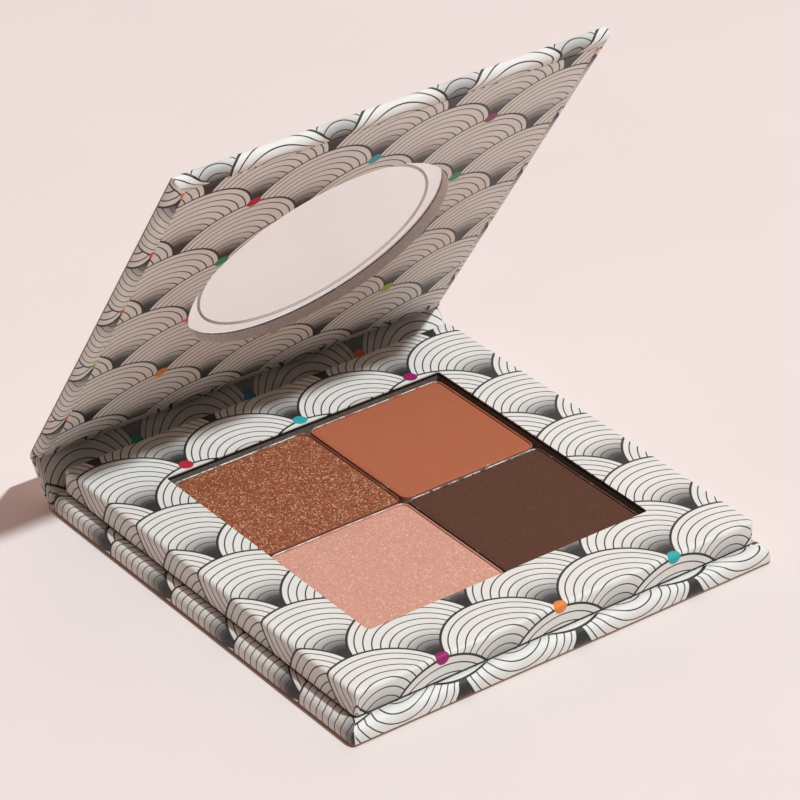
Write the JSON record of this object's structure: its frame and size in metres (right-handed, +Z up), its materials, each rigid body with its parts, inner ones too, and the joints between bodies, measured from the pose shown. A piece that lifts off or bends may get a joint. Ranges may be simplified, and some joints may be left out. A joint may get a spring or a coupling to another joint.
{
  "type": "eyeshadow palette",
  "caption": "Book-style cardboard eyeshadow palette, open: wrapped base and tray with lift-out square pans, folding spine and a lid with a round clear window.",
  "frame": {"origin": "centre of the closed palette's footprint, on the base's underside", "axes": "+X along the folds, +Y from the opening side to the spine, +Z up"},
  "size_m": [0.08, 0.0866, 0.0758],
  "materials": {
    "grey_board": "matte",
    "printed_paper": "matte",
    "black_paper": "matte",
    "magnet_sheet": "matte",
    "nickel": "satin",
    "clear_film": "gloss",
    "tin": "satin",
    "rose_powder": "satin",
    "brown_powder": "matte",
    "bronze_powder": "satin",
    "terracotta_powder": "matte"
  },
  "bodies": {
    "base": {"base_board": "grey_board", "base_wrap": "printed_paper", "base_liner": "printed_paper", "base_fold": "printed_paper", "tray_frame": "grey_board", "tray_wrap": "printed_paper", "well_liner": "black_paper", "magnet_sheet": "magnet_sheet", "tray_magnets": "nickel"},
    "spine": {"spine_board": "grey_board", "spine_wrap": "printed_paper", "spine_liner": "printed_paper", "lid_fold": "printed_paper"},
    "lid": {"lid_board": "grey_board", "lid_wrap": "printed_paper", "lid_liner": "printed_paper", "window_film": "clear_film", "lid_magnets": "nickel"},
    "rose_refill": {"rose_pan": "tin", "rose_powder": "rose_powder"},
    "brown_refill": {"brown_pan": "tin", "brown_powder": "brown_powder"},
    "bronze_refill": {"bronze_pan": "tin", "bronze_powder": "bronze_powder"},
    "terracotta_refill": {"terracotta_pan": "tin", "terracotta_powder": "terracotta_powder"}
  },
  "joints": [
    {"name": "spine_fold", "type": "hinge", "parent": "base", "child": "spine", "pos_m": [0, 0.04002, 0.0012], "axis": [-1, 0, 0], "range_deg": [-34, 56], "deforming": ["base_fold"]},
    {"name": "lid_fold_hinge", "type": "hinge", "parent": "spine", "child": "lid", "pos_m": [0, 0.04419, 0.00738], "axis": [-1, 0, 0], "range_deg": [-22.7, 67.3], "deforming": ["lid_fold"]},
    {"name": "rose_lift", "type": "slide", "parent": "base", "child": "rose_refill", "axis": [0, 0, 1], "range_m": [0, 0.012]},
    {"name": "brown_lift", "type": "slide", "parent": "base", "child": "brown_refill", "axis": [0, 0, 1], "range_m": [0, 0.012]},
    {"name": "bronze_lift", "type": "slide", "parent": "base", "child": "bronze_refill", "axis": [0, 0, 1], "range_m": [0, 0.012]},
    {"name": "terracotta_lift", "type": "slide", "parent": "base", "child": "terracotta_refill", "axis": [0, 0, 1], "range_m": [0, 0.012]}
  ]
}
